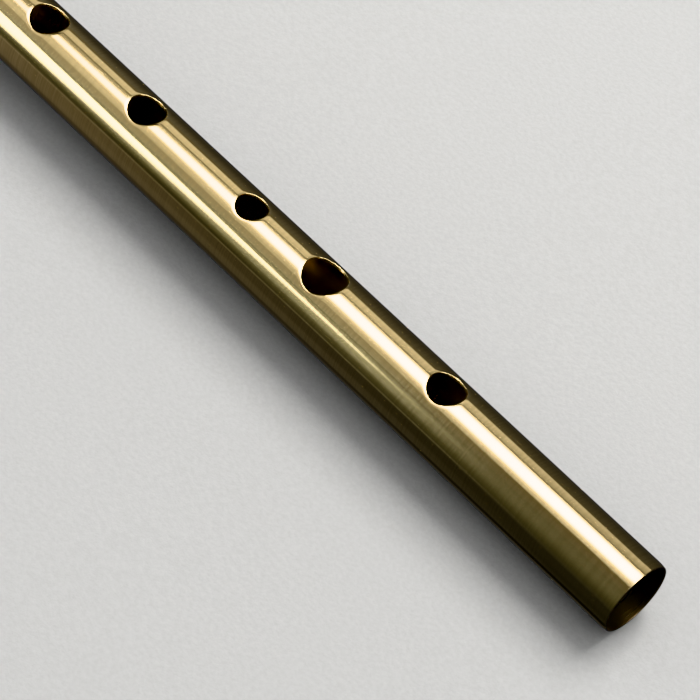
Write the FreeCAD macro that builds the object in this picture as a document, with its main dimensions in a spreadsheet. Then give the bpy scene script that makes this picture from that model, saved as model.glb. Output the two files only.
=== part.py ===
import FreeCAD, Part
import math
import os

import Sketcher
from FreeCAD import Placement, Rotation, Vector

# Tin whistle in high D: a thin brass tube with six finger holes, and a moulded head that
# slides and turns on two rubber rings. Millimetres. The origin is the centre of the open
# foot, +X runs up the bore to the mouthpiece and +Z points out of the finger holes.

# --------------------------------------------------------------------------- sizes
# Every driving dimension: its name in the sheet, its value, and what it is.
SIZES = (
    ("tube_length", 238.0, "foot to the end that sits in the head"),
    ("tube_outer", 12.2, "outside diameter of the drawn tube"),
    ("tube_wall", 0.4, "thickness of the drawn tube"),
    ("foot_round", 0.12, "polished edge of both ends of the tube"),
    ("place_six", 40.0, "sixth hole, from the foot"),
    ("place_five", 65.5, "fifth hole, from the foot"),
    ("place_four", 81.3, "fourth hole, from the foot"),
    ("place_three", 104.4, "third hole, from the foot"),
    ("place_two", 126.6, "second hole, from the foot"),
    ("place_one", 145.5, "first hole, from the foot"),
    ("width_six", 6.1, "diameter of the sixth hole"),
    ("width_five", 7.1, "diameter of the fifth hole"),
    ("width_four", 5.2, "diameter of the fourth hole"),
    ("width_three", 6.1, "diameter of the third hole"),
    ("width_two", 6.2, "diameter of the second hole"),
    ("width_one", 5.4, "diameter of the first hole"),
    ("hole_round", 0.2, "worn edge round each finger hole"),
    ("tuning_gap", 3.0, "tube end to the stop in the head, at rest"),
    ("socket_clearance", 0.08, "radial gap between tube and socket"),
    ("socket_depth", 24.0, "lower face of the shell to the stop"),
    ("socket_wall", 1.2, "shell outside the ring seats"),
    ("sleeve_wall", 2.0, "shell outside the plain socket"),
    ("ledge_height", 2.1, "full diameter above the upper ring"),
    ("step_slope", 2.5, "cone below the sleeve"),
    ("neck_start", 3.0, "stop to the start of the neck cone"),
    ("neck_slope", 6.0, "length of the neck cone"),
    ("barrel_wall", 1.9, "shell outside the bore"),
    ("body_round", 1.0, "soft edges of the barrel's steps"),
    ("ring_section", 1.5, "thickness of a rubber ring"),
    ("ring_grip_gap", 0.02, "radial gap between ring and tube"),
    ("ring_seat_gap", 0.08, "radial gap between ring and seat"),
    ("ring_side_gap", 0.2, "gap on each side of a ring"),
    ("spacer_length", 5.1, "length of the spacer between the rings"),
    ("spacer_edge", 0.25, "chamfer of the spacer's bore"),
    ("spigot_length", 3.0, "part of the collar inside the shell"),
    ("flange_length", 5.5, "part of the collar outside the shell"),
    ("flange_round", 0.8, "round lower edge of the collar"),
    ("flute_count", 20.0, "finger flutes round the collar"),
    ("flute_depth", 0.35, "depth of a flute"),
    ("flute_radius", 0.9, "radius of a flute"),
    ("chamber_length", 25.0, "stop to the blade edge"),
    ("roof_drop", 0.75, "flat chamber roof, below the top of the bore"),
    ("roof_length", 10.0, "flat roof below the blade edge"),
    ("blade_edge", 0.15, "thickness of the blade edge"),
    ("window_length", 4.2, "blade edge to the block"),
    ("voicing_width", 8.4, "width of window, ramp and windway"),
    ("ramp_length", 11.0, "length of the ramp on the centre line"),
    ("block_length", 27.8, "face of the block to the lip"),
    ("floor_drop", 1.0, "windway floor, below the top of the bore"),
    ("windway_height", 1.05, "floor to roof of the windway"),
    ("floor_edge", 0.35, "chamfer at the windway's exit"),
    ("beak_radius", 34.0, "hollow curve under the mouthpiece"),
    ("lip_height", 5.6, "thickness of the lip"),
    ("lip_round", 0.6, "soft edge round the lip"),
    ("shoulder_gap", 1.0, "blade edge to the start of the shoulders"),
    ("shoulder_slope", 8.0, "length over which the shoulders rise"),
    ("side_cut", 0.8, "depth of the flat sides of the mouthpiece"),
    ("top_cut", 0.6, "depth of the flat top of the mouthpiece"),
    ("mouth_corner", 2.2, "upper corner radius of the mouthpiece"),
    ("shoulder_depth", 2.0, "how deep the shoulders start in the barrel"),
    ("lip_drop", 0.4, "fall of the top towards the lip"),
)

HOLES = ("six", "five", "four", "three", "two", "one")

# Radii and places that follow from the sizes, as the sheet's own expressions.
TUBE_R = "sizes.tube_outer / 2"
BORE_R = "(sizes.tube_outer / 2 - sizes.tube_wall)"
SOCKET_R = "(sizes.tube_outer / 2 + sizes.socket_clearance)"
RING_R = "(sizes.tube_outer / 2 + sizes.ring_grip_gap + sizes.ring_section / 2)"
SEAT_R = f"({RING_R} + sizes.ring_section / 2 + sizes.ring_seat_gap)"
SHELL_R = f"({SEAT_R} + sizes.socket_wall)"
SLEEVE_R = f"({SOCKET_R} + sizes.sleeve_wall)"
BARREL_R = f"({BORE_R} + sizes.barrel_wall)"
HALF_WIDTH = "sizes.voicing_width / 2"
ROOF = f"({BORE_R} - sizes.roof_drop)"
FLOOR = f"({BORE_R} - sizes.floor_drop)"
MOUTH_TOP = f"({BARREL_R} - sizes.top_cut)"
MOUTH_SIDE = f"({BARREL_R} - sizes.side_cut)"
LIP_TOP = f"({MOUTH_TOP} - sizes.lip_drop)"
LIP_BOTTOM = f"({LIP_TOP} - sizes.lip_height)"
ROOM = "(sizes.ring_section + 2 * sizes.ring_side_gap)"

STOP = "sizes.tube_length + sizes.tuning_gap"
SHELL_FACE = f"{STOP} - sizes.socket_depth"
LOWER_RING = f"{SHELL_FACE} + sizes.spigot_length + {ROOM} / 2"
SPACER = f"{SHELL_FACE} + sizes.spigot_length + {ROOM}"
UPPER_RING = f"{SPACER} + sizes.spacer_length + {ROOM} / 2"
BLOCK_FACE = "(sizes.chamber_length + sizes.window_length)"

document = FreeCAD.newDocument("tin_whistle")
sheet = document.addObject("Spreadsheet::Sheet", "sizes")
for row, (name, number, meaning) in enumerate(SIZES, 1):
    sheet.set(f"A{row}", name)
    sheet.set(f"B{row}", str(number))
    sheet.set(f"C{row}", meaning)
    sheet.setAlias(f"B{row}", name)
document.recompute()


def size(expression):
    """The number that an expression over the sheet comes to."""
    return float(sheet.evalExpression(expression))


# --------------------------------------------------------------------------- helpers
def new_body(name, along="0"):
    """A body with its own origin on the bore's axis, placed along X by the sizes."""
    body = document.addObject("PartDesign::Body", name)
    body.Label = name
    body.setExpression("Placement.Base.x", along)
    return body


def new_sketch(body, name, role, lift=None):
    """A sketch on one of the body's own planes, lifted off it if asked."""
    sketch = body.newObject("Sketcher::SketchObject", name)
    plane = next(item for item in body.Origin.OriginFeatures if item.Role == role)
    sketch.AttachmentSupport = [(plane, "")]
    sketch.MapMode = "FlatFace"
    if lift:
        sketch.setExpression("AttachmentOffset.Base.z", lift)
    return sketch


def pin(sketch, point, axis, expression):
    """Hold one coordinate of a point at the size that the expression gives."""
    number = size(expression)
    if abs(number) < 1e-9:
        line = -2 if axis == "X" else -1
        sketch.addConstraint(Sketcher.Constraint("PointOnObject", *point, line))
        return
    near, far = ((-1, 1), point) if number > 0 else (point, (-1, 1))
    rule = Sketcher.Constraint(f"Distance{axis}", *near, *far, abs(number))
    place = sketch.addConstraint(rule)
    held = expression if number > 0 else f"-({expression})"
    sketch.setExpression(f"Constraints[{place}]", held)


def pin_radius(sketch, curve, expression):
    """Hold a circle's or an arc's radius."""
    place = sketch.addConstraint(Sketcher.Constraint("Radius", curve, size(expression)))
    sketch.setExpression(f"Constraints[{place}]", expression)


def draw_outline(sketch, corners):
    """A closed outline of straight lines, every corner held by the sizes."""
    points = [Vector(size(across), size(up), 0) for across, up in corners]
    lines = [Part.LineSegment(a, b) for a, b in zip(points, points[1:] + points[:1])]
    first = sketch.addGeometry(lines, False)[0]
    count = len(corners)
    for step, (across, up) in enumerate(corners):
        line, after = first + step, first + (step + 1) % count
        sketch.addConstraint(Sketcher.Constraint("Coincident", line, 2, after, 1))
        pin(sketch, (line, 1), "X", across)
        pin(sketch, (line, 1), "Y", up)


def draw_circle(sketch, across, up, radius):
    """A circle held by its centre and radius."""
    centre = Vector(size(across), size(up), 0)
    ring = Part.Circle(centre, Vector(0, 0, 1), size(radius))
    curve = sketch.addGeometry(ring, False)
    pin(sketch, (curve, 3), "X", across)
    pin(sketch, (curve, 3), "Y", up)
    pin_radius(sketch, curve, radius)


def draw_arc(sketch, centre, radius, start, finish):
    """An arc turning left from angle start to angle finish; its ends stay free."""
    middle = Vector(size(centre[0]), size(centre[1]), 0)
    ring = Part.Circle(middle, Vector(0, 0, 1), size(radius))
    arc = Part.ArcOfCircle(ring, math.radians(start), math.radians(finish))
    curve = sketch.addGeometry(arc, False)
    pin(sketch, (curve, 3), "X", centre[0])
    pin(sketch, (curve, 3), "Y", centre[1])
    pin_radius(sketch, curve, radius)
    return curve


def draw_line(sketch, start, finish):
    """A straight line between two points given by the sizes, its ends left free."""
    ends = [Vector(size(across), size(up), 0) for across, up in (start, finish)]
    return sketch.addGeometry(Part.LineSegment(*ends), False)


def join(sketch, *ends):
    """Make each pair of ends meet."""
    for first, second in ends:
        sketch.addConstraint(Sketcher.Constraint("Coincident", *first, *second))


def volume(body):
    """The body's volume as it now stands."""
    document.recompute()
    return body.Shape.Volume


def add_feature(body, kind, name, profile, **settings):
    """A feature made from a profile; it must add or remove material."""
    before = volume(body) if body.Tip else 0.0
    feature = body.newObject(f"PartDesign::{kind}", name)
    feature.Profile = profile
    for setting, wanted in settings.items():
        if isinstance(wanted, str) and "sizes." in wanted:
            feature.setExpression(setting, wanted)
        else:
            setattr(feature, setting, wanted)
    if abs(volume(body) - before) < 1e-3:
        raise RuntimeError(f"{name} changed nothing")
    return feature


def turn(body, kind, name, corners):
    """A Revolution or Groove of an outline of (along the bore, radius) corners."""
    sketch = new_sketch(body, f"{name}_profile", "XZ_Plane")
    draw_outline(sketch, corners)
    return add_feature(body, kind, name, sketch, ReferenceAxis=(sketch, ["H_Axis"]), Angle=360)


def cut_through(body, name, role, corners, width):
    """A pocket of an outline on one of the bore's planes, cut to both sides of it."""
    sketch = new_sketch(body, f"{name}_profile", role)
    draw_outline(sketch, corners)
    return add_feature(body, "Pocket", name, sketch, SideType="Symmetric", Length=width)


def soften(body, kind, name, base, wanted, amount):
    """A Fillet or Chamfer of the edges that pass a test."""
    edges = [f"Edge{i}" for i, edge in enumerate(base.Shape.Edges, 1) if wanted(edge)]
    if not edges:
        raise RuntimeError(f"{name} found no edge")
    feature = body.newObject(f"PartDesign::{kind}", name)
    feature.Base = (base, edges)
    feature.setExpression("Radius" if kind == "Fillet" else "Size", amount)
    document.recompute()
    return feature


def ring_edge(along, radius):
    """A test for the circular edge at a place along the bore with a radius."""
    def wanted(edge):
        box = edge.BoundBox
        flat = box.XLength < 1e-6 and abs(box.XMin - size(along)) < 1e-4
        return flat and abs(edge.Length - 2 * math.pi * size(radius)) < 1e-3
    return wanted


# --------------------------------------------------------------------------- body tube
def make_body_tube():
    """Drawn brass tube, open at both ends, with six finger holes in its upper wall."""
    body = new_body("body_tube")
    section = new_sketch(body, "tube_section", "YZ_Plane")
    draw_circle(section, "0", "0", TUBE_R)
    draw_circle(section, "0", "0", BORE_R)
    tube = add_feature(body, "Pad", "drawn_tube", section, Length="sizes.tube_length")

    def end_edge(edge):
        box = edge.BoundBox
        return box.XLength < 1e-6 and box.YLength > size(BORE_R)

    polished = soften(body, "Fillet", "polished_ends", tube, end_edge, "sizes.foot_round")
    holes = new_sketch(body, "finger_hole_places", "XY_Plane")
    for hole in HOLES:
        draw_circle(holes, f"sizes.place_{hole}", "0", f"sizes.width_{hole} / 2")
    drilled = add_feature(body, "Pocket", "finger_holes", holes,
                          Length="sizes.tube_outer", Reversed=True)

    def outer_rim(edge):
        """The saddle-shaped rim where a finger hole meets the outside of the tube."""
        box = edge.BoundBox
        short = 1.0 < box.XLength < size("sizes.tube_outer")
        return short and box.ZMax > size(TUBE_R) - 1e-3

    soften(body, "Fillet", "worn_rims", drilled, outer_rim, "sizes.hole_round")
    return body


# --------------------------------------------------------------------------- head
def make_grip_ring(name, along):
    """Rubber ring of round section that grips the tube inside the head."""
    body = new_body(name, along)
    section = new_sketch(body, f"{name}_section", "XZ_Plane")
    draw_circle(section, "0", RING_R, "sizes.ring_section / 2")
    add_feature(body, "Revolution", f"{name}_moulding", section,
                ReferenceAxis=(section, ["H_Axis"]), Angle=360)
    return body


def make_ring_spacer():
    """Plastic sleeve that keeps the two rings apart."""
    body = new_body("ring_spacer", SPACER)
    length = "sizes.spacer_length"
    sleeve = turn(body, "Revolution", "sleeve", (
        ("0", SOCKET_R), (length, SOCKET_R), (length, SEAT_R), ("0", SEAT_R)))

    def bore_edge(edge):
        return ring_edge("0", SOCKET_R)(edge) or ring_edge(length, SOCKET_R)(edge)

    soften(body, "Chamfer", "sleeve_edges", sleeve, bore_edge, "sizes.spacer_edge")
    return body


def make_tuning_collar():
    """Fluted collar that closes the socket: a flange outside, a spigot inside."""
    body = new_body("tuning_collar", SHELL_FACE)
    outside = "-sizes.flange_length"
    flange = turn(body, "Revolution", "flange_and_spigot", (
        (outside, SOCKET_R), ("sizes.spigot_length", SOCKET_R),
        ("sizes.spigot_length", SEAT_R), ("0", SEAT_R), ("0", SHELL_R), (outside, SHELL_R)))
    rounded = soften(body, "Fillet", "soft_lower_edge", flange,
                     ring_edge(outside, SHELL_R), "sizes.flange_round")
    soften(body, "Chamfer", "lead_in", rounded,
           ring_edge(outside, SOCKET_R), "sizes.spacer_edge")

    mark = new_sketch(body, "flute_section", "YZ_Plane")
    draw_circle(mark, "0", f"{SHELL_R} + sizes.flute_radius - sizes.flute_depth",
                "sizes.flute_radius")
    flute = add_feature(body, "Pocket", "flute", mark, Length="sizes.flange_length")
    flutes = body.newObject("PartDesign::PolarPattern", "flutes")
    flutes.Originals = [flute]
    axis = next(item for item in body.Origin.OriginFeatures if item.Role == "X_Axis")
    flutes.Axis = (axis, [""])
    flutes.Angle = 360
    flutes.setExpression("Occurrences", "sizes.flute_count")
    body.Tip = flutes
    return body


def shoulder_section(body, name, along, half_width, top):
    """Upper half of the mouthpiece's section: flat top, round corners, flat sides."""
    sketch = new_sketch(body, name, "YZ_Plane", along)
    corner = "sizes.mouth_corner"
    inner, shoulder = f"({half_width} - {corner})", f"({top} - {corner})"
    base = draw_line(sketch, (f"-({half_width})", "0"), (half_width, "0"))
    right = draw_line(sketch, (half_width, "0"), (half_width, shoulder))
    right_arc = draw_arc(sketch, (inner, shoulder), corner, 0, 90)
    roof = draw_line(sketch, (inner, top), (f"-{inner}", top))
    left_arc = draw_arc(sketch, (f"-{inner}", shoulder), corner, 90, 180)
    left = draw_line(sketch, (f"-({half_width})", shoulder), (f"-({half_width})", "0"))
    join(sketch, ((base, 2), (right, 1)), ((right, 2), (right_arc, 1)),
         ((right_arc, 2), (roof, 1)), ((roof, 2), (left_arc, 1)),
         ((left_arc, 2), (left, 1)), ((left, 2), (base, 1)))
    pin(sketch, (base, 1), "Y", "0")
    pin(sketch, (base, 2), "Y", "0")
    pin(sketch, (base, 1), "X", f"-({half_width})")
    pin(sketch, (base, 2), "X", half_width)
    pin(sketch, (right_arc, 1), "Y", shoulder)
    pin(sketch, (right_arc, 2), "X", inner)
    pin(sketch, (left_arc, 1), "X", f"-{inner}")
    pin(sketch, (left_arc, 2), "Y", shoulder)
    return sketch


def cut_beak(body, name, lip, below):
    """The hollow curve under the mouthpiece, level where it reaches the lip."""
    sketch = new_sketch(body, f"{name}_profile", "XZ_Plane")
    centre = (lip, f"{LIP_BOTTOM} - sizes.beak_radius")
    drop = size(f"{below} - {LIP_BOTTOM} + sizes.beak_radius")
    start = math.degrees(math.asin(drop / size("sizes.beak_radius")))
    curve = draw_arc(sketch, centre, "sizes.beak_radius", 90, 180 - start)
    past = f"{lip} + 1"
    level = draw_line(sketch, (past, LIP_BOTTOM), (lip, LIP_BOTTOM))
    floor = draw_line(sketch, (lip, below), (past, below))
    edge = draw_line(sketch, (past, below), (past, LIP_BOTTOM))
    join(sketch, ((level, 2), (curve, 1)), ((curve, 2), (floor, 1)),
         ((floor, 2), (edge, 1)), ((edge, 2), (level, 1)))
    pin(sketch, (curve, 1), "X", lip)
    pin(sketch, (curve, 2), "Y", below)
    pin(sketch, (edge, 1), "X", past)
    pin(sketch, (edge, 1), "Y", below)
    pin(sketch, (edge, 2), "X", past)
    pin(sketch, (edge, 2), "Y", LIP_BOTTOM)
    return add_feature(body, "Pocket", name, sketch, SideType="Symmetric",
                       Length=f"4 * {BARREL_R}")


def make_head_shell():
    """Moulded head: socket, barrel, sound chamber, window, windway and mouthpiece."""
    body = new_body("head_shell", STOP)
    foot = "-sizes.socket_depth"
    ledge = f"({foot} + sizes.spigot_length + 2 * {ROOM} + sizes.spacer_length)"
    step = f"({ledge} + sizes.ledge_height)"
    sleeve = f"({step} + sizes.step_slope)"
    neck = "(sizes.neck_start + sizes.neck_slope)"
    lip = f"({BLOCK_FACE} + sizes.block_length)"

    barrel = turn(body, "Revolution", "barrel", (
        (foot, "0"), (foot, SHELL_R), (step, SHELL_R), (sleeve, SLEEVE_R),
        ("sizes.neck_start", SLEEVE_R), (neck, BARREL_R), (lip, BARREL_R), (lip, "0")))

    def barrel_step(edge):
        places = ((step, SHELL_R), (sleeve, SLEEVE_R),
                  ("sizes.neck_start", SLEEVE_R), (neck, BARREL_R))
        return any(ring_edge(along, radius)(edge) for along, radius in places)

    soften(body, "Fillet", "soft_steps", barrel, barrel_step, "sizes.body_round")

    rise = "(sizes.chamber_length + sizes.shoulder_gap)"
    full = f"({rise} + sizes.shoulder_slope)"
    wide, top = MOUTH_SIDE, MOUTH_TOP
    outside, past = f"({BARREL_R} + 1)", f"{lip} + 1"
    cut_through(body, "flat_top", "XZ_Plane", (
        (full, top), (lip, LIP_TOP), (past, LIP_TOP), (past, outside),
        (rise, outside), (rise, BARREL_R)), f"4 * {BARREL_R}")
    side = cut_through(body, "flat_side", "XY_Plane", (
        (full, wide), (past, wide), (past, outside), (rise, outside),
        (rise, BARREL_R)), f"4 * {BARREL_R}")
    sides = body.newObject("PartDesign::Mirrored", "flat_sides")
    sides.Originals = [side]
    middle = next(item for item in body.Origin.OriginFeatures if item.Role == "XZ_Plane")
    sides.MirrorPlane = (middle, [""])
    body.Tip = sides

    sections = (
        shoulder_section(body, "shoulder_root", rise, f"({wide} - sizes.shoulder_depth)",
                         f"({top} - sizes.shoulder_depth)"),
        shoulder_section(body, "shoulder_full", full, wide, top),
        shoulder_section(body, "shoulder_lip", lip, wide, LIP_TOP))
    add_feature(body, "AdditiveLoft", "shoulders", sections[0],
                Sections=list(sections[1:]), Ruled=True)
    beak = cut_beak(body, "beak", lip, f"-({BARREL_R} + 1)")

    def mouth_edge(edge):
        """An edge of the lip's end face, or of the hollow curve behind it."""
        box = edge.BoundBox
        at_lip = box.XLength < 1e-6 and abs(box.XMin - size(lip)) < 1e-4
        deep = size(f"sizes.beak_radius - {LIP_BOTTOM}")
        reach = [math.hypot(spot.x - size(lip), spot.z + deep)
                 for spot in edge.discretize(5)]
        return at_lip or all(abs(r - size("sizes.beak_radius")) < 1e-3 for r in reach)

    soften(body, "Fillet", "soft_mouth", beak, mouth_edge, "sizes.lip_round")

    turn(body, "Groove", "stepped_bore", (
        (foot, "0"), (foot, SEAT_R), (ledge, SEAT_R), (ledge, SOCKET_R), ("0", SOCKET_R),
        ("0", BORE_R), (lip, BORE_R), (lip, "0")))
    blade, block = "sizes.chamber_length", BLOCK_FACE
    edge_top = f"({ROOF} + sizes.blade_edge)"
    run = f"({outside} - {edge_top}) * sizes.ramp_length / ({BARREL_R} - {edge_top})"
    width = "sizes.voicing_width"
    cut_through(body, "chamber_roof", "XZ_Plane", (
        (f"{blade} - sizes.roof_length", "0"), (block, "0"), (block, ROOF),
        (f"{blade} - sizes.roof_length", ROOF)), width)
    cut_through(body, "window_and_ramp", "XZ_Plane", (
        (blade, "0"), (block, "0"), (block, outside), (f"{blade} - {run}", outside),
        (blade, edge_top)), width)
    roof = f"({FLOOR} + sizes.windway_height)"
    cut_through(body, "windway", "XZ_Plane", (
        (block, "0"), (past, "0"), (past, roof), (block, roof)), width)
    return body


def make_fipple_block():
    """Block that fills the bore under the windway; its flat top is the windway's floor."""
    body = new_body("fipple_block", f"{STOP} + {BLOCK_FACE}")
    section = new_sketch(body, "block_section", "YZ_Plane")
    spread = math.degrees(math.acos(size(HALF_WIDTH) / size(BORE_R)))
    side = f"sqrt({BORE_R} ^ 2 - ({HALF_WIDTH}) ^ 2)"
    top = FLOOR
    belly = draw_arc(section, ("0", "0"), BORE_R, 180 - spread, 360 + spread)
    right = draw_line(section, (HALF_WIDTH, side), (HALF_WIDTH, top))
    floor = draw_line(section, (HALF_WIDTH, top), (f"-{HALF_WIDTH}", top))
    left = draw_line(section, (f"-{HALF_WIDTH}", top), (f"-{HALF_WIDTH}", side))
    join(section, ((belly, 2), (right, 1)), ((right, 2), (floor, 1)),
         ((floor, 2), (left, 1)), ((left, 2), (belly, 1)))
    pin(section, (belly, 1), "X", f"-{HALF_WIDTH}")
    pin(section, (belly, 2), "X", HALF_WIDTH)
    pin(section, (floor, 1), "X", HALF_WIDTH)
    pin(section, (floor, 1), "Y", top)
    pin(section, (floor, 2), "X", f"-{HALF_WIDTH}")
    pin(section, (floor, 2), "Y", top)
    add_feature(body, "Pad", "block", section, Length="sizes.block_length")
    beak = cut_beak(body, "block_beak", "sizes.block_length", f"-({BARREL_R} + 1)")

    def lower_lip(edge):
        box = edge.BoundBox
        at_lip = abs(box.XMin - size("sizes.block_length")) < 1e-4 and box.XLength < 1e-6
        return at_lip and box.ZMax < size(LIP_BOTTOM) + 1e-4

    soft = soften(body, "Fillet", "soft_lower_lip", beak, lower_lip, "sizes.lip_round")

    def exit_edge(edge):
        box = edge.BoundBox
        return box.XMax < 1e-6 and box.ZMin > size(top) - 1e-4

    soften(body, "Chamfer", "windway_exit", soft, exit_edge, "sizes.floor_edge")
    return body


# --------------------------------------------------------------------------- build
pieces = (
    make_body_tube(),
    make_grip_ring("grip_ring_lower", LOWER_RING),
    make_grip_ring("grip_ring_upper", UPPER_RING),
    make_ring_spacer(),
    make_tuning_collar(),
    make_head_shell(),
    make_fipple_block(),
)
document.recompute()

for item in document.Objects:
    if "Invalid" in item.State or "Error" in item.State:
        raise RuntimeError(f"{item.Name} failed: {item.State}")

os.makedirs("parts", exist_ok=True)
for piece in pieces:
    if piece.Shape.isNull() or not piece.Shape.isValid():
        raise RuntimeError(f"{piece.Label} has no sound shape")
    piece.Shape.exportStep(f"parts/{piece.Label}.step")
    box = piece.Shape.BoundBox
    print(f"{piece.Label}: {piece.Shape.Volume:.1f} mm3, {len(piece.Shape.Solids)} solid, "
          f"x {box.XMin:.2f}..{box.XMax:.2f}, y {box.YMin:.2f}..{box.YMax:.2f}, "
          f"z {box.ZMin:.2f}..{box.ZMax:.2f}")
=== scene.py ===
# %% [markdown]
# # A polished brass tin whistle
# A tin whistle is a thin brass tube with six finger holes, pushed into a moulded head.
# The head slides and turns on two rubber rings, which is how the whistle is tuned. This
# lesson starts from the CAD model, gives the tube a finer skin, finishes each piece with
# a procedural material, and lights it like a small still life.

# %% Load the frame
import math

import bpy
from mathutils import Matrix, Vector


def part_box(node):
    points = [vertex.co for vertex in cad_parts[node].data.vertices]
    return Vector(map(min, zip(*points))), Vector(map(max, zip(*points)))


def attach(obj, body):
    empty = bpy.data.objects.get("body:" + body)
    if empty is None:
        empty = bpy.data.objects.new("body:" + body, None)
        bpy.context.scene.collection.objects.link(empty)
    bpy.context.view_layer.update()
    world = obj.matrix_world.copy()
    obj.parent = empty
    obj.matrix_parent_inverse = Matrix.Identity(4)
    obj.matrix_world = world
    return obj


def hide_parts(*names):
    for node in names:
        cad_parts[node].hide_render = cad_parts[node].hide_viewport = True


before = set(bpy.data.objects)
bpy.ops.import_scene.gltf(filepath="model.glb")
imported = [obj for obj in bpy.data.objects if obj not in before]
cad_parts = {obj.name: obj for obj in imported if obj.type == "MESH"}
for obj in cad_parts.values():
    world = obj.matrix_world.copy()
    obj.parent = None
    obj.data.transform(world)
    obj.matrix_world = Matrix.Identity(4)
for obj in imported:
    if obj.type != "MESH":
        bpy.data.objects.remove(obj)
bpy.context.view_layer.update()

MM = 0.001

# %% [markdown]
# ## Arithmetic for materials
# A procedural material is arithmetic on numbers that change over the surface. Written as
# nodes, even `1 - a * b` takes three boxes and four links, and the sum is hard to see in
# them. The class below wraps a socket, so the same sum can be written as Python and still
# ends up as ordinary nodes, which Blender can render and bake.

# %% A socket that can be added and multiplied
def find_socket(sockets, name):
    """A socket by its place in the list, or by its name or its longer identifier."""
    if isinstance(name, int):
        return sockets[name]
    return next(s for s in sockets if name in (s.identifier, s.name))


class Wire:
    """One output socket in a material, with the arithmetic that Math nodes offer."""

    def __init__(self, tree, socket=None):
        self.tree, self.socket = tree, socket

    def node(self, kind, output=0, settings=None, inputs=None):
        """Any node: its type, the output to go on from, its settings and its inputs."""
        made = self.tree.nodes.new(kind)
        for name, value in (settings or {}).items():
            setattr(made, name, value)
        for name, value in (inputs or {}).items():
            socket = find_socket(made.inputs, name)
            if isinstance(value, Wire):
                self.tree.links.new(value.socket, socket)
            else:
                socket.default_value = value
        return type(self)(self.tree, find_socket(made.outputs, output))

    def maths(self, operation, *others):
        """A Math node with this value first."""
        return self.node("ShaderNodeMath", 0, {"operation": operation},
                         dict(enumerate((self, *others))))

    def __add__(self, other):
        return self.maths("ADD", other)

    def __sub__(self, other):
        return self.maths("SUBTRACT", other)

    def __mul__(self, other):
        return self.maths("MULTIPLY", other)

    def __truediv__(self, other):
        return self.maths("DIVIDE", other)

    def __pow__(self, other):
        return self.maths("POWER", other)

    def __neg__(self):
        return self * -1.0

    def __rsub__(self, other):
        return -self + other

    __radd__ = __add__
    __rmul__ = __mul__


print("sums can be written as Python")

# %% [markdown]
# ## Words for patterns
# Four nodes make nearly every pattern here: one stretches the place that a pattern is
# read at, one turns a number smoothly into another, one mixes two colours, and one makes
# soft noise. Each could be set up by hand every time. As short words of the same class,
# they can be chained, and a pattern reads from left to right.

# %% Stretch, ramp, blend and noise
class Pattern(Wire):
    """A wire with the nodes that patterns are made of."""

    def stretched(self, along, across, up):
        """A vector with each of its parts multiplied by its own number."""
        return self.node("ShaderNodeVectorMath", 0, {"operation": "MULTIPLY"},
                         {0: self, 1: (along, across, up)})

    def part(self, axis):
        """One part of a vector: X, Y or Z."""
        return self.node("ShaderNodeSeparateXYZ", axis, None, {0: self})

    def ramp(self, start, end, low=0.0, high=1.0):
        """Goes smoothly from low to high as this value goes from start to end."""
        return self.node("ShaderNodeMapRange", "Result", {"interpolation_type": "SMOOTHSTEP"},
                         {"Value": self, "From Min": start, "From Max": end,
                          "To Min": low, "To Max": high})

    def blend(self, first, second):
        """A colour between two, with this value as the share of the second."""
        return self.node("ShaderNodeMix", "Result_Color", {"data_type": "RGBA"},
                         {"Factor_Float": self, "A_Color": first, "B_Color": second})

    def noise(self, detail=2.0, roughness=0.5):
        """Soft noise from 0 to 1 at this place."""
        return self.node("ShaderNodeTexNoise", 0, None,
                         {"Vector": self, "Scale": 1.0, "Detail": detail,
                          "Roughness": roughness})


print("patterns can be stretched, ramped, blended and made noisy")

# %% [markdown]
# ## Starting a finish
# Every finish on the whistle, metal or plastic, is one Principled shader. The place on
# the object, in metres, drives its patterns, so they keep their real size and go on
# without a seam. Small relief such as a scratch is left to a Bump node, because it is
# far too fine to be worth vertices.

# %% A new material, its inputs and its relief
def new_finish(name):
    """A material with one Principled shader; returns the material, shader and place."""
    material = bpy.data.materials.new(name)
    material.use_nodes = True
    shader = material.node_tree.nodes["Principled BSDF"]
    place = Pattern(material.node_tree).node("ShaderNodeTexCoord", "Object")
    return material, shader, place


def plug(shader, **inputs):
    """Sets or links the shader's inputs; underscores stand for spaces."""
    for name, value in inputs.items():
        socket = shader.inputs[name.replace("_", " ")]
        if isinstance(value, Wire):
            value.tree.links.new(value.socket, socket)
        else:
            socket.default_value = value


def bumped(height, distance, strength=1.0):
    """The surface normal pushed about by a height, in metres at distance."""
    return height.node("ShaderNodeBump", "Normal", None,
                       {"Height": height, "Distance": distance, "Strength": strength})


print("finishes can be started")

# %% [markdown]
# ## The tube
# The real tube is drawn brass, cut square, drilled and polished. It could keep its CAD
# mesh, but a mirror finish shows every facet and every wrong normal. A subdivided
# cylinder with boolean holes has the same fault near the holes. So the tube is built as
# a grid wrapped round a cylinder, with rings of vertices round each hole, and each vertex
# is given the exact normal of the surface that it stands for.

# %% The tube's measurements
tube_low, tube_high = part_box("body_tube")
OUTER = (tube_high[1] - tube_low[1]) / 2
LENGTH = tube_high[0] - tube_low[0]
HEAD_END = LENGTH - 0.03 * MM  # stays clear of the stop when the head is pushed home
WALL = 0.4 * MM
# Finger holes from the foot up: distance from the foot and width, in millimetres.
HOLES = [(40.0, 6.1), (65.5, 7.1), (81.3, 5.2), (104.4, 6.1), (126.6, 6.2), (145.5, 5.4)]
print(f"tube {LENGTH / MM:.1f} mm long, {2 * OUTER / MM:.1f} mm across, {len(HOLES)} holes")

# %% [markdown]
# ## A point on the tube
# Every vertex is somewhere along the tube, at some angle from the top, and at some depth
# below the skin. Those three numbers say more about a tube than x, y and z do, and the
# true normal follows from the angle alone, so all the shapes below are worked out in
# them and turned into x, y and z at the end.

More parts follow.
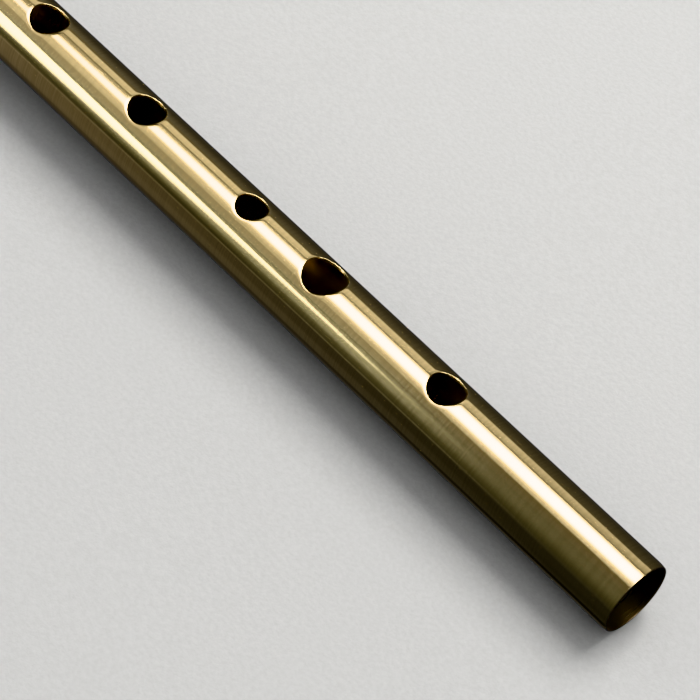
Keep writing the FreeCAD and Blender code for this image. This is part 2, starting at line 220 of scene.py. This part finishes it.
# %% Points and normals on the tube
def on_tube(along, turn, depth):
    """A point of the tube: place along it, angle from the top, depth below the skin."""
    radius = OUTER - depth
    return Vector((along, radius * math.sin(turn), radius * math.cos(turn)))


def radial(turn, side=1.0):
    """The normal of the outside of the tube, or of its bore if side is -1."""
    return Vector((0.0, side * math.sin(turn), side * math.cos(turn)))


print("top of the foot, mm:", [round(c / MM, 1) for c in on_tube(0.0, 0.0, 0.0)])

# %% [markdown]
# ## Close steps where there is a hole
# Plain tube needs few vertices, and a finger hole needs many. An even grid that is close
# enough for the holes would be heavy everywhere. So the stations along the tube are close
# together beside a hole only, and the long stretches between holes are single faces,
# which the exact normals keep perfectly straight.

# %% Steps of the grid
AROUND = 72  # steps round the tube
HALF_PATCH = 10  # steps from a hole's centre to the edge of its patch of grid
MARGIN = 1.7 * MM  # metal between a hole and the edge of its patch, along the tube
END_RIM = 0.07 * MM  # radius of the very edge at both ends
END_DISH_LENGTH = 1.3 * MM  # length of the burnished fall before it


def turn_of(step):
    """The angle from the top of one of the grid's steps."""
    return 2 * math.pi * step / AROUND


def lay_stations():
    """Places along the tube, and where each hole's patch of grid starts among them."""
    stations, patches = [END_RIM + END_DISH_LENGTH], []
    for place, width in HOLES:
        half = width * MM / 2 + MARGIN
        patches.append(len(stations))
        stations += [place * MM - half + half * n / HALF_PATCH
                     for n in range(2 * HALF_PATCH + 1)]
    stations.append(HEAD_END - END_RIM - END_DISH_LENGTH)
    return stations, patches


STATIONS, PATCHES = lay_stations()
print(f"{len(STATIONS)} stations along the tube, {AROUND} steps round it")

# %% [markdown]
# ## A mesh that keeps its own normals
# Blender works out smooth normals by averaging the faces round a vertex. On polished
# metal that average is visible wherever long faces meet short ones. The collector below
# takes the true normal with each point and gives them to the mesh as custom normals.

# %% The collector
class Skin:
    """Collects vertices with their normals, and faces, and turns them into an object."""

    def __init__(self):
        self.points, self.normals, self.faces = [], [], []

    def add(self, point, normal):
        """Adds a vertex and returns its number."""
        self.points.append(point)
        self.normals.append(normal.normalized())
        return len(self.points) - 1

    def join(self, rings):
        """Faces between closed rings with the same number of vertices."""
        for first, second in zip(rings, rings[1:]):
            for i in range(len(first)):
                j = (i + 1) % len(first)
                self.faces.append((first[i], first[j], second[j], second[i]))

    def finish(self, name):
        """Turns each face to look the way its corners do, and makes the object."""
        for place, face in enumerate(self.faces):
            a, b, c = (self.points[i] for i in face[:3])
            outward = sum((self.normals[i] for i in face), Vector())
            if (b - a).cross(c - b).dot(outward) < 0:
                self.faces[place] = face[::-1]
        mesh = bpy.data.meshes.new(name)
        mesh.from_pydata(self.points, [], self.faces)
        mesh.polygons.foreach_set("use_smooth", [True] * len(self.faces))
        mesh.normals_split_custom_set_from_vertices(self.normals)
        made = bpy.data.objects.new(name, mesh)
        bpy.context.scene.collection.objects.link(made)
        return made


print("mesh collector ready")

# %% [markdown]
# ## The skin and the bore
# The tube has an outside and an inside, 0.4 mm apart. Both are the same grid at another
# depth, which is easier than thickening a sheet and keeps both sides exactly round. The
# grid leaves out a square patch at every finger hole.

# %% Wrap the grid
def vertex_in_patch(s, step):
    """Whether a vertex lies inside a hole's patch, off its edge."""
    near = min(step, AROUND - step) < HALF_PATCH
    return near and any(p < s < p + 2 * HALF_PATCH for p in PATCHES)


def face_in_patch(s, step):
    """Whether the face that starts at a vertex lies in a hole's patch."""
    near = step < HALF_PATCH or step >= AROUND - HALF_PATCH
    return near and any(p <= s < p + 2 * HALF_PATCH for p in PATCHES)


def lay_grid(skin, depth, side):
    """The grid on the skin or the bore; returns its vertices by station and step."""
    grid = {}
    for s, along in enumerate(STATIONS):
        for step in range(AROUND):
            if not vertex_in_patch(s, step):
                turn = turn_of(step)
                grid[s, step] = skin.add(on_tube(along, turn, depth), radial(turn, side))
    for s in range(len(STATIONS) - 1):
        for step in range(AROUND):
            around = (step + 1) % AROUND
            if not face_in_patch(s, step):
                skin.faces.append((grid[s, step], grid[s + 1, step],
                                   grid[s + 1, around], grid[s, around]))
    return grid


print("grid ready to wrap")

# %% [markdown]
# ## The finger holes
# A finger hole is drilled and then polished with the tube, so its edge is dished and
# soft, and that thin bright ring is what makes it look like metal. A bevel on a boolean
# cut could give it, but with broken shading. Here the edge is drawn once as a profile,
# from the skin down the dish, over the rim and through the wall, and then carried round.

# %% The edge of a hole, in profile
DISH_WIDTH = 0.45 * MM
DISH_DEPTH = 0.035 * MM
DISH_STEPS = 6
RIM = 0.045 * MM  # radius of the edge outside
INNER_RIM = 0.04 * MM  # radius of the edge inside the bore


def hole_profile():
    """(offset from the hole's wall, depth) from the skin to the bore."""
    dish = [(RIM + DISH_WIDTH * (1 - q / DISH_STEPS), DISH_DEPTH * (q / DISH_STEPS) ** 2)
            for q in range(DISH_STEPS + 1)]
    rim = [(RIM - RIM * math.sin(a), DISH_DEPTH + RIM - RIM * math.cos(a))
           for a in (math.radians(18 * step) for step in range(1, 6))]
    inner = [(INNER_RIM - INNER_RIM * math.cos(a),
              WALL - INNER_RIM + INNER_RIM * math.sin(a))
             for a in (math.radians(30 * step) for step in range(4))]
    return dish + rim + inner


print(f"hole profile of {len(hole_profile())} points")

# %% [markdown]
# ## Round the hole on a curved wall
# A drill goes straight down, so the hole is a circle seen from above, but its edge climbs
# and falls on the round tube. The profile follows that edge: each of its points goes out
# from the drill's axis and down from the curved skin. The normals could be worked out by
# hand, but the profile already knows its neighbours, and the cross product of the two
# directions through a point is the normal there.

# %% Carry the profile round
def beside_hole(centre, radius, aim, offset, depth):
    """A point round a finger hole, offset outward from its wall, at a depth."""
    reach = radius + offset
    turn = math.asin(reach * math.sin(aim) / OUTER)
    return on_tube(centre + reach * math.cos(aim), turn, depth)


def edge_rings(skin, centre, radius, aims):
    """Rings over a hole's edge; their normals come from the profile's own slope."""
    nudge = 0.001
    profile = hole_profile()
    before = (profile[0][0] + DISH_WIDTH / DISH_STEPS, 0.0)
    after = (profile[-1][0] + INNER_RIM, WALL)
    padded = [before] + profile + [after]
    rings = []
    for k in range(1, len(padded) - 1):
        ring = []
        for aim in aims:
            down = (beside_hole(centre, radius, aim, *padded[k + 1])
                    - beside_hole(centre, radius, aim, *padded[k - 1]))
            round_it = (beside_hole(centre, radius, aim + nudge, *padded[k])
                        - beside_hole(centre, radius, aim - nudge, *padded[k]))
            ring.append(skin.add(beside_hole(centre, radius, aim, *padded[k]),
                                 round_it.cross(down)))
        rings.append(ring)
    return rings


print("edge rings ready")

# %% [markdown]
# ## From the square patch to the round hole
# The patch that the grid left out is square and the hole is round. One long face from
# each corner of the square would do, but its bend would show in the metal. Three rings
# between them, each a quarter of the way, change the square slowly into the circle.

# %% Join the hole to the grid
def patch_edge(first):
    """The grid's stations and steps round a hole's patch, in order."""
    count, last = 2 * HALF_PATCH, first + 2 * HALF_PATCH
    lower = [(first + n, -HALF_PATCH) for n in range(count)]
    right = [(last, n - HALF_PATCH) for n in range(count)]
    upper = [(last - n, HALF_PATCH) for n in range(count)]
    left = [(first, HALF_PATCH - n) for n in range(count)]
    return lower + right + upper + left


def fan_rings(skin, grid, edge, aims, centre, reach, depth, side):
    """Rings on the skin or the bore, from the patch's edge in to a hole's own reach."""
    rings = [[grid[s, step % AROUND] for s, step in edge]]
    for share in (0.75, 0.5, 0.25):
        ring = []
        for (s, step), aim in zip(edge, aims):
            inner_turn = math.asin(reach * math.sin(aim) / OUTER)
            inner_along = centre + reach * math.cos(aim)
            turn = inner_turn + share * (turn_of(step) - inner_turn)
            along = inner_along + share * (STATIONS[s] - inner_along)
            ring.append(skin.add(on_tube(along, turn, depth), radial(turn, side)))
        rings.append(ring)
    return rings


def add_hole(skin, grid_out, grid_in, first, centre, radius):
    """One finger hole, from the skin's grid over its edge to the bore's grid."""
    edge = patch_edge(first)
    aims = [math.atan2(OUTER * math.sin(turn_of(step)), STATIONS[s] - centre)
            for s, step in edge]
    profile = hole_profile()
    outside = fan_rings(skin, grid_out, edge, aims, centre, radius + profile[0][0], 0.0, 1.0)
    over = edge_rings(skin, centre, radius, aims)
    inside = fan_rings(skin, grid_in, edge, aims, centre, radius + profile[-1][0], WALL, -1.0)
    skin.join(outside + over + inside[::-1])


print(f"{len(patch_edge(0))} vertices round each hole")

# %% [markdown]
# ## The two ends
# The foot is cut square and burnished, so its edge falls away slightly over the last
# millimetre and then rounds into the bore. A bevel would give the round but not the long
# fall, which bends the highlights at the very end. It is the same idea as the holes: a
# profile with its own normals, carried round the tube.

# %% Burnished ends
END_DISH_DEPTH = 0.13 * MM
END_DISH_STEPS = 8


def end_profile():
    """(inset from the end, depth) over the burnished edge, from the skin to the bore."""
    quarter = [math.radians(22.5 * step) for step in range(5)]
    dish = [(END_RIM + END_DISH_LENGTH * (1 - q / END_DISH_STEPS),
             END_DISH_DEPTH * (q / END_DISH_STEPS) ** 2) for q in range(END_DISH_STEPS + 1)]
    outside = [(END_RIM - END_RIM * math.sin(a),
                END_DISH_DEPTH + END_RIM - END_RIM * math.cos(a)) for a in quarter[1:]]
    inside = [(END_RIM - END_RIM * math.cos(a), WALL - END_RIM + END_RIM * math.sin(a))
              for a in quarter]
    return dish + outside + inside + [(END_RIM + END_DISH_LENGTH, WALL)]


def add_end(skin, ring_out, ring_in, at, inward):
    """Rounds one end of the tube from its skin to its bore."""
    profile = end_profile()
    rings = [ring_out]
    for k in range(1, len(profile) - 1):
        slope = Vector((profile[k + 1][0] - profile[k - 1][0],
                        profile[k + 1][1] - profile[k - 1][1]))
        ring = []
        for step in range(AROUND):
            turn = turn_of(step)
            point = on_tube(at + inward * profile[k][0], turn, profile[k][1])
            normal = -slope.x * radial(turn) - slope.y * Vector((inward, 0, 0))
            ring.append(skin.add(point, normal))
        rings.append(ring)
    skin.join(rings + [ring_in])


print(f"end profile of {len(end_profile())} points")

# %% [markdown]
# ## Put the tube together
# On the real whistle all of this is one piece of metal. The skin, the bore, the holes
# and the ends could be separate meshes, but then their seams could show. They share
# their vertices here, so the tube is one closed mesh. It is shown in place of the CAD
# tube and rides on the same body, so it moves as the CAD tube would.

# %% Build the tube
def build_tube():
    """The whole tube: skin, bore, finger holes and soft ends."""
    skin = Skin()
    grids = [lay_grid(skin, 0.0, 1.0), lay_grid(skin, WALL, -1.0)]
    for first, (place, width) in zip(PATCHES, HOLES):
        add_hole(skin, *grids, first, place * MM, width * MM / 2)
    for s, at, inward in ((0, 0.0, 1.0), (len(STATIONS) - 1, HEAD_END, -1.0)):
        outside, inside = ([grid[s, step] for step in range(AROUND)] for grid in grids)
        add_end(skin, outside, inside, at, inward)
    return skin.finish("polished_tube")


tube = build_tube()
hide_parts("body_tube")
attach(tube, "body")
print(f"tube mesh: {len(tube.data.vertices)} vertices, {len(tube.data.polygons)} faces")

# %% [markdown]
# ## Wear on the brass
# A whistle is carried in pockets, so its polish has a few thin scratches and pits. They
# could be drawn on an image, but noise does it without one: a scratch is where a soft
# noise crosses its middle value, and a pit is the heart of a Voronoi cell.

# %% Scratches and pits
def hairlines(place, sparse):
    """Thin wandering scratches: the places where a soft noise crosses its middle."""
    course = place.noise(1.5, 0.45)
    close = ((course - 0.5).maths("ABSOLUTE")).ramp(0.0, 0.006, 1.0, 0.0)
    return close * place.stretched(0.9, 0.8, 0.7).noise(1.0).ramp(sparse, sparse + 0.04)


def pits(place, size):
    """Small round pits, one in a few of the cells of a Voronoi pattern."""
    cell = place.node("ShaderNodeTexVoronoi", "Color", None, {"Vector": place, "Scale": 1.0})
    reach = place.node("ShaderNodeTexVoronoi", "Distance", None, {"Vector": place, "Scale": 1.0})
    chosen = cell.node("ShaderNodeSeparateColor", 0, None, {0: cell}).ramp(0.70, 0.74)
    return reach.ramp(size * 0.4, size, 1.0, 0.0) * chosen


def all_wear(place):
    """Long and short scratches and pits together, from 0 to 1."""
    return (hairlines(place.stretched(230, 420, 420), 0.66)
            + hairlines(place.stretched(520, 300, 300), 0.69)
            + pits(place.stretched(420, 420, 420), 0.045)).maths("MINIMUM", 1.0)


print("wear can be made")

# %% [markdown]
# ## Skin or bore
# Nobody polishes the bore, so there the brass is dull and tarnished brown. That brown is
# also darkened as painted shade for the inside of the tube, most of all near the open
# foot. A second material on the inner faces would leave a hard line at each rim.
# One material with a mask is softer, and the distance from the tube's axis tells the
# inside from the outside.

# %% A mask for the bore and its colour
BORE_STARTS, BORE_FULL = 0.09 * MM, 0.24 * MM  # depths below the skin
# Painted shade: these bore browns are darker than tarnish alone, and the foot's is the darkest,
# standing in for the shade inside the tube.
SHADED_TARNISH_LIGHT, SHADED_TARNISH_DEEP = (0.32, 0.205, 0.082, 1), (0.17, 0.11, 0.045, 1)
PAINTED_SHADE_FOOT = (0.12, 0.086, 0.048, 1)


def bore_mask(place):
    """1 in the bore and 0 on the skin."""
    y, z = place.part("Y"), place.part("Z")
    radius = (y * y + z * z) ** 0.5
    return radius.ramp(OUTER - BORE_FULL, OUTER - BORE_STARTS, 1.0, 0.0)


def bore_tarnish_and_shade(place, patches):
    """Tarnished brown brass in patches, darkened as painted shade inside, darkest near the foot.
    """
    shaded_tarnish = patches.ramp(0.3, 0.7).blend(SHADED_TARNISH_LIGHT, SHADED_TARNISH_DEEP)
    return place.part("X").ramp(8 * MM, 45 * MM).blend(PAINTED_SHADE_FOOT, shaded_tarnish)


print(f"bore colour starts {BORE_STARTS / MM:.2f} mm below the skin")

# %% [markdown]
# ## Polished brass
# Brass is a metal, so all its colour is in its reflections. The tube was polished while
# it turned, which leaves very fine scratches round it. An anisotropic shader is the usual
# way to hint at them, but baked maps don't carry it. Here they are noise that changes fast
# along the tube and slowly round it, as a slight change of colour and roughness and as
# relief of a few thousandths of a millimetre.

# %% The brass finish
CLEAN_BRASS, WARM_BRASS = (0.90, 0.70, 0.36, 1), (0.87, 0.66, 0.32, 1)
LINED_BRASS = (0.82, 0.63, 0.315, 1)
RELIEF = 0.0000012  # metres; the noise below is multiplied by it


def make_brass():
    """Polished outside, fine lines round it, a little wear, and a dull bore."""
    material, shader, place = new_finish("polished_brass")
    lines = place.stretched(3200, 60, 60).noise(1.0, 0.5)
    patches = place.stretched(60, 120, 120).noise(3.0, 0.6)
    clouds = place.stretched(18, 60, 60).noise(2.0, 0.5)
    bore, wear, fine = bore_mask(place), all_wear(place), lines.ramp(0.32, 0.68)
    clean = clouds.ramp(0.35, 0.75).blend(CLEAN_BRASS, WARM_BRASS)
    lined = fine.blend(clean, LINED_BRASS)
    polish = patches.ramp(0.4, 0.8, 0.07, 0.095) + fine * 0.02
    # The bore's colour is partly tarnish and partly painted shade of the tube's inside.
    plug(shader, Base_Color=bore.blend(lined, bore_tarnish_and_shade(place, patches)), Metallic=1.0,
         Roughness=polish + wear * 0.18 + bore * 0.20,
         Normal=bumped((lines * 3.0 - wear * 0.7) * (1.0 - bore), RELIEF))
    return material


brass = make_brass()
tube.data.materials.append(brass)
print("brass:", len(brass.node_tree.nodes), "nodes")

# %% [markdown]
# ## Moulded plastic
# The head's pieces are injection-moulded. No moulding is a perfect mirror or one flat
# colour: the surface is very slightly wavy, the colour drifts a little, and handling
# leaves scuffs that are rougher than the rest. One function makes all of that, and each
# piece gets its own numbers. The CAD meshes stay as they are, because their shape is
# right already.

# %% One function for plastics and rubber
def moulded(node, colour, deep, roughness, ripple, scuffs):
    """Finishes a CAD piece: colour, its darker shade, gloss, waviness and scuffs."""
    material, shader, place = new_finish(f"{node}_finish")
    cloud = place.stretched(120, 120, 120).noise(3.0)
    grain = place.stretched(2500, 2500, 2500).noise(2.0)
    rubbed = place.stretched(700, 2600, 2600).noise(4.0, 0.7)
    wave = place.stretched(330, 330, 330).noise(1.0)
    plug(shader, Base_Color=cloud.ramp(0.3, 0.7).blend((*colour, 1), (*deep, 1)),
         Roughness=rubbed.ramp(0.45, 0.75, roughness, roughness + scuffs),
         Normal=bumped(wave * ripple + grain * 0.12, 0.00002, 0.6))
    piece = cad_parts[node]
    piece.data.materials.clear()
    piece.data.materials.append(material)
    print(f"{node}: roughness {roughness} to {roughness + scuffs:.2f}")


print("moulded finish ready")

# %% [markdown]
# ## Head shell
# The shell is the part that is seen and held: it carries the socket, the window and the
# mouthpiece. It is a glossy plastic, dyed right through. A clear coat over a duller base
# could make the gloss, but a moulding has no coat, so one low roughness is closer to it.

# %% Gloss green
moulded("head_shell", (0.006, 0.070, 0.030), (0.004, 0.054, 0.022), 0.17, 1.0, 0.16)

# %% [markdown]
# ## Block
# The block is the floor of the windway, and it shows in the slot of the mouthpiece. It
# is moulded in an undyed plastic, cream and satin. Light goes a little way into such a
# plastic, which subsurface scattering could show, but so little of the block is seen
# that a plain satin surface is enough.

# %% Satin cream
moulded("fipple_block", (0.74, 0.68, 0.54), (0.69, 0.62, 0.47), 0.42, 0.6, 0.12)

# %% [markdown]
# ## Collar and spacer
# The collar closes the socket and has flutes for the fingers, and the spacer behind it
# keeps the two rings apart. Flutes could be faked with a bump, but they show against the
# floor, so they are real shapes in the CAD model and only need a finish. Both pieces are
# plain black plastic, and the collar is handled, so its scuffs are stronger.

# %% Satin black
moulded("tuning_collar", (0.028, 0.028, 0.030), (0.020, 0.020, 0.022), 0.42, 0.5, 0.15)
moulded("ring_spacer", (0.030, 0.030, 0.032), (0.022, 0.022, 0.024), 0.45, 0.5, 0.10)

# %% [markdown]
# ## Rubber rings
# The two rings grip the tube, so the head stays where it is put. Rubber is darker and
# much rougher than the plastics. A special shader for it isn't needed: the same function
# with a high roughness does it.

# %% Black rubber
for ring in ("grip_ring_lower", "grip_ring_upper"):
    moulded(ring, (0.014, 0.014, 0.014), (0.010, 0.010, 0.010), 0.62, 1.0, 0.15)

# %% [markdown]
# ## The surface it lies on
# The whistle lies on a plain pale surface. It touches at two places only: the lower rim
# of the foot, and the collar, which is wider. So the surface is given the slope of the
# line through both, less than a degree, instead of moving the whistle. The metal doesn't
# reflect it, because the tunnel further down is painted with its own floor.

# %% Floor
FLOOR_SIZE, FLOOR_MIDDLE = 2.4, 0.12
collar_low, collar_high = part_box("tuning_collar")
drop = (-collar_low[2] - OUTER) / collar_low[0]
half = FLOOR_SIZE / 2
floor_mesh = bpy.data.meshes.new("floor")
floor_mesh.from_pydata(
    [(x + FLOOR_MIDDLE, y, -OUTER - (x + FLOOR_MIDDLE) * drop)
     for x, y in ((-half, -half), (half, -half), (half, half), (-half, half))],
    [], [(0, 1, 2, 3)])
floor = bpy.data.objects.new("floor", floor_mesh)
bpy.context.scene.collection.objects.link(floor)
print(f"floor tilts {math.degrees(math.atan(drop)):.2f} degrees")

# %% [markdown]
# ## Pale paper
# The surface is a sheet of pale, matt paper. A flat colour would look like a cut-out, so
# a fine noise stands for the fibres: a slight change of colour, and a relief of a few
# hundredths of a millimetre, which the soft light brings out.

# %% Paper fibres
paper, paper_shader, paper_place = new_finish("pale_paper")
fibre = paper_place.stretched(1400, 1400, 1400).noise(4.0, 0.65)
plug(paper_shader, Base_Color=fibre.ramp(0.2, 0.8).blend((0.60, 0.59, 0.57, 1),
                                                         (0.66, 0.65, 0.63, 1)),
     Roughness=0.95, Normal=bumped(fibre, 0.00005))
floor_mesh.materials.append(paper)
floor.visible_glossy = False
print("paper:", len(paper.node_tree.nodes), "nodes")

# %% [markdown]
# ## What the metal reflects
# Polished metal looks like whatever surrounds it, so it is lit by giving it something
# to reflect: long soft boxes beside the tube and dark card between them. Real area lamps
# could do it, but each has a hard edge and they all light the floor too. Here the set
# is a tunnel of cloth round the whistle, seen only in reflections, and its brightness is
# painted by angle. Angle 0 is straight overhead and angles grow towards +Y.

# %% The cloth tunnel's own coordinates
tent_material = bpy.data.materials.new("light_tent")
tent_material.use_nodes = True
tent_material.cycles.emission_sampling = "NONE"
tent_tree = tent_material.node_tree
tent_tree.nodes.clear()
spot = Pattern(tent_tree).node("ShaderNodeTexCoord", "Object")
along = spot.part("X")
angle = spot.part("Y").maths("ARCTAN2", spot.part("Z")) * math.degrees(1)
# How far along the tunnel: 0 where the foot's reflection falls, 1 near the middle hole's.
share = ((along - 0.32) / 0.29).maths("MAXIMUM", 0.0).maths("MINIMUM", 1.6)
print("tunnel painted by angle and by distance along it")

# %% [markdown]
# ## Brushes for light
# A soft box is a flat patch with soft edges, and a strip of card or the fold of a cloth
# is a narrow peak. Colour ramps could draw both, but their stops can't move along the
# tunnel. As two small functions of the angle, their edges can be given by numbers that
# change on the way from the foot to the head.

# %% Two brushes
def bell(middle, width):
    """A soft peak of light, 1 at its middle angle."""
    offset = (angle - middle) / width
    return (-offset * offset).maths("EXPONENT")


def panel(start, end, soft_start, soft_end):
    """A panel of light between two angles, each edge spread over its own softness."""
    opening = ((angle - start) / soft_start + 0.5).ramp(0.0, 1.0)
    closing = ((angle - end) / soft_end + 0.5).ramp(1.0, 0.0)
    return opening * closing


print("brushes ready")

# %% [markdown]
# ## The far side of the tunnel
# The far edge of the tube reflects a dim wall, then a band that gives the tan line
# beside the highlight. The band could be a lamp of its own. As paint it can change its
# width, place and strength on the way to the head, which keeps the tube from looking
# like a printed stripe.

# %% Dim wall and tan panel
base = angle.ramp(-97, -56) * (share * 0.065 + 0.036) + 0.063
tan_panel = (panel(share * 4.3 - 55.4, -31.2, 4.0, 3.0)
             * (share * 0.62 - share * share * 0.40 + 0.38
                + (share * 0.006 - 0.0125) * (angle + 40.0)))
print("far side painted")

# %% [markdown]
# ## The key panel
# The widest and brightest highlight comes from one large panel overhead. A panel of one
# brightness would cut off hard, and a bell would be bright only in its middle. The
# exponential of a fourth power lies between them: nearly flat in the centre, and quick
# but soft at the edges. A half-bright plateau beside it is the cloth round the panel,
# which makes the golden shoulder.

# %% Key panel and its plateau
key_offset = (angle - share + 6.8) / (13.0 - share * share * 5.0)
key_shape = (-(key_offset * key_offset * key_offset * key_offset)
             - share * share * 1.3).maths("EXPONENT")
key_panel = key_shape * 42.0 * along.ramp(-0.3, 0.15, 0.3, 1.0)
plateau = (panel(-27.5, share.ramp(0.0, 0.2, 23.5, 25.8) - share * 1.3, 3.0, 3.0)
           * ((angle.ramp(24.0, 12.0) * 0.42 + 0.50) * (1.0 - share * 0.45)
              + share * share * 0.0075 * (angle + 5.0)))
print("key painted")

# %% [markdown]
# ## The near side of the tunnel
# Towards the viewer there is a grey wall, then a long side panel that starts narrow and
# widens away from the foot, so the second highlight grows along the tube. A real soft
# box is a rectangle and would have to be turned to do that; here its two edges simply
# move apart. A faint veil round it softens the step to the dark part below.

# %% Wall, veil and side panel
veil = share.ramp(0.17, 0.39)
wall = panel(24.0, 45.5, 3.0, 3.0) * (veil * 0.20 + 0.055)
halo = (panel(46.0, 163.0, 4.0, 10.0) * 0.037
        + veil * panel(48.0, 81.25, 12.0, 14.5) * 0.19)
flare = along.maths("MINIMUM", 0.72) - 0.43
side_panel = (panel(59.0 - flare * 27.0, 56.5 + flare * 83.0, 1.8, 13.0)
              * along.ramp(0.325, 0.60) * 9.5)
print("near side painted")

# %% [markdown]
# ## Down by the table
# The lowest reflections are of the dark table and the edge of the cloth: a dark crease,
# a dim hollow, one thin pale line and a low veil. They are weak, but without them the
# lower half of the tube would be a single flat brown.

# %% Low tones
hollow = panel(98.0, 133.0, 10.0, 14.0) * (share * share * 0.10 - share * 0.113 + 0.006)
crease = bell(96.0, 6.0) * share.ramp(0.45, 0.85) * -0.055
thin_line = bell(share * 4.6 + 100.6, 2.2) * share.ramp(0.0, 0.3) * 0.10
low_veil = panel(107.5, 158.0, 8.0, 32.0) * (share * 0.052 - 0.022)
under = angle.ramp(62.0, 104.0) * -0.091
print("low tones painted")

# %% [markdown]
# ## Colour of the cloth
# Cloth overhead is neutral, and it turns slightly cooler towards the table and on the
# far side, so the brass isn't the same yellow all round. The light is also turned off
# for rays that have bounced off a matt surface, which keeps the tube from throwing
# bright curls of light onto the floor.

# %% Add up the light and tint it
light = (base + tan_panel + key_panel + plateau + wall + halo + side_panel + thin_line
         + low_veil + hollow + crease + under).maths("MAXIMUM", 0.003)
direct = light.node("ShaderNodeLightPath", "Diffuse Depth").maths("LESS_THAN", 0.5)
tint = angle.ramp(30.0, 55.0).blend((1.0, 1.0, 1.0, 1), (1.03, 1.14, 1.19, 1))
table_grey = share.blend((1.0, 1.14, 1.55, 1), (1.0, 1.0, 1.12, 1))
tint = angle.ramp(92.0, 112.0).blend(tint, table_grey)
tint = angle.ramp(-56.0, -62.0).blend(tint, (1.0, 1.08, 1.32, 1))
paint = tint.node("ShaderNodeVectorMath", 0, {"operation": "SCALE"},
                  {0: tint, "Scale": light * direct})
glow = paint.node("ShaderNodeEmission", 0, None, {"Color": paint})
tent_output = tent_tree.nodes.new("ShaderNodeOutputMaterial")
tent_tree.links.new(glow.socket, tent_output.inputs["Surface"])
print("tunnel paint:", len(tent_tree.nodes), "nodes")

# %% [markdown]
# ## Hang the tunnel
# The tunnel itself is only something for reflections to hit, so it can be a plain
# many-sided drum. It is a metre in radius, far enough that a small move of the whistle
# doesn't change what it reflects, and it is hidden from the camera and from shadows.

# %% The drum
TENT_RADIUS, TENT_START, TENT_END, TENT_SIDES = 1.0, -1.5, 2.5, 96
tent_points = [(x, TENT_RADIUS * math.sin(a), TENT_RADIUS * math.cos(a))
               for x in (TENT_START, TENT_END)
               for a in (2 * math.pi * n / TENT_SIDES for n in range(TENT_SIDES))]
tent_faces = [(n, (n + 1) % TENT_SIDES, (n + 1) % TENT_SIDES + TENT_SIDES, n + TENT_SIDES)
              for n in range(TENT_SIDES)]
tent_faces += [tuple(range(TENT_SIDES)), tuple(range(TENT_SIDES, 2 * TENT_SIDES))]
tent_mesh = bpy.data.meshes.new("light_tent")
tent_mesh.from_pydata(tent_points, [], tent_faces)
tent_mesh.materials.append(tent_material)
tent = bpy.data.objects.new("light_tent", tent_mesh)
bpy.context.scene.collection.objects.link(tent)
for kind in ("camera", "diffuse", "transmission", "volume_scatter", "shadow"):
    setattr(tent, "visible_" + kind, False)
print("tunnel hung:", len(tent_faces), "panels")

# %% [markdown]
# ## Soft light for the plastics, the rubber and the floor
# Matt surfaces don't show reflections, so they need real light. One large soft lamp
# stands high on the far side and throws a soft shadow towards the viewer, and a grey sky
# fills the shadow. A single lamp is enough, and it keeps the shadow simple.

# %% Lamp
LAMP_DISTANCE = 1.2
WHISTLE_MIDDLE = Vector((0.12, 0, 0))
lamp_data = bpy.data.lights.new("soft_lamp", "AREA")
lamp_data.shape = "RECTANGLE"
lamp_data.size, lamp_data.size_y = 0.8, 0.5
lamp_data.energy = 12.0
lamp = bpy.data.objects.new("soft_lamp", lamp_data)
bpy.context.scene.collection.objects.link(lamp)
lamp_turn = math.radians(-35)
lamp.location = (0.15, LAMP_DISTANCE * math.sin(lamp_turn), LAMP_DISTANCE * math.cos(lamp_turn))
lamp.rotation_euler = (WHISTLE_MIDDLE - lamp.location).to_track_quat("-Z", "X").to_euler()
lamp.visible_glossy = False
print("lamp", lamp_data.energy, "W at", [round(c, 2) for c in lamp.location])

# %% [markdown]
# ## Sky
# A room is never quite dark, and its walls fill every shadow with grey light. A picture
# of a room could be wrapped round the scene, but nothing here shows it sharply, so an
# even grey, a little cooler than the lamp, does the same work.

# %% Grey sky
sky = bpy.data.worlds.new("grey_sky")
sky.use_nodes = True
backdrop = sky.node_tree.nodes["Background"]
backdrop.inputs["Color"].default_value = (0.96, 0.98, 1.0, 1)
backdrop.inputs["Strength"].default_value = 0.5
bpy.context.scene.world = sky
print("sky strength 0.5")

# %% [markdown]
# ## The camera
# A long lens from over the foot of the whistle, rolled a little, so that the tube crosses
# the frame from corner to corner. A camera can be aimed with a constraint, but the roll
# is part of the picture, so its own right and up directions are given. The view transform
# is a plain one that keeps a base colour close to what was typed in and rolls off only
# the brightest light.

# %% Camera
RIGHT = Vector((-0.67860, -0.70905, 0.19167))
UP = Vector((0.63716, -0.43844, 0.63387))
lens = bpy.data.cameras.new("long_lens")
lens.lens, lens.sensor_width = 200.2, 36.0
lens.clip_start, lens.clip_end = 0.02, 20.0
camera = bpy.data.objects.new("long_lens", lens)
bpy.context.scene.collection.objects.link(camera)
looking = Matrix((RIGHT, UP, RIGHT.cross(UP))).transposed().to_4x4()
camera.matrix_world = Matrix.Translation((-0.1488, 0.3121, 0.4202)) @ looking
bpy.context.scene.camera = camera
bpy.context.scene.view_settings.view_transform = "Khronos PBR Neutral"
print("camera at", [round(c, 3) for c in camera.location])
